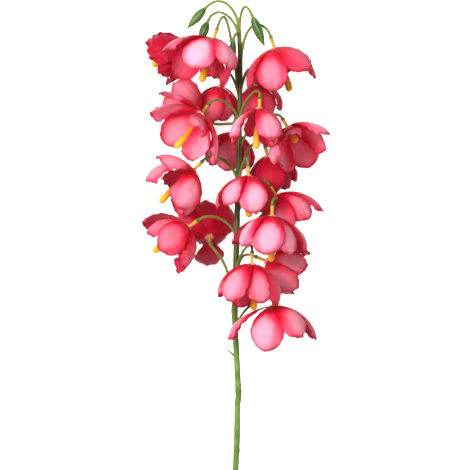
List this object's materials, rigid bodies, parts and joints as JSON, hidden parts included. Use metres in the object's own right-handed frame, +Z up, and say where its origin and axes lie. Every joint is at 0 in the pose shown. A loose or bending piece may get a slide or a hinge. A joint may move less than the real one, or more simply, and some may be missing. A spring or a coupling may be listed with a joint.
{
  "type": "nodding orchid flower spike",
  "caption": "Cut orchid spike lying on a surface: green stem with arching stalks, nodding pink blooms with yellow columns, and green buds at the tip.",
  "frame": {"origin": "on the surface that the spike lies on, under the middle of its outline", "axes": "+Y along the stem from the cut end to the buds, +Z up from the surface, +X across the spike"},
  "size_m": [0.226, 0.5658, 0.1592],
  "materials": {
    "stem": "green plant stem, satin",
    "petals": "soft pink petal, paler at the rim and crimson at the base",
    "column": "warm yellow, matte",
    "bud": "green, satin"
  },
  "bodies": {
    "root": {"stem": "stem", "bloom_01": "petals", "bloom_02": "petals", "bloom_03": "petals", "bloom_04": "petals", "bloom_05": "petals", "bloom_06": "petals", "bloom_07": "petals", "bloom_08": "petals", "bloom_09": "petals", "bloom_10": "petals", "bloom_11": "petals", "bloom_12": "petals", "bloom_13": "petals", "bloom_14": "petals", "bloom_15": "petals", "bloom_16": "petals", "bloom_17": "petals", "bloom_18": "petals", "bloom_19": "petals", "bloom_20": "petals", "column_01": "column", "column_02": "column", "column_03": "column", "column_04": "column", "column_05": "column", "column_06": "column", "column_07": "column", "column_08": "column", "column_09": "column", "column_10": "column", "column_11": "column", "column_12": "column", "column_13": "column", "column_14": "column", "column_15": "column", "column_16": "column", "column_17": "column", "column_18": "column", "column_19": "column", "column_20": "column", "bud_01": "bud", "bud_02": "bud", "bud_03": "bud", "bud_04": "bud"}
  },
  "joints": []
}
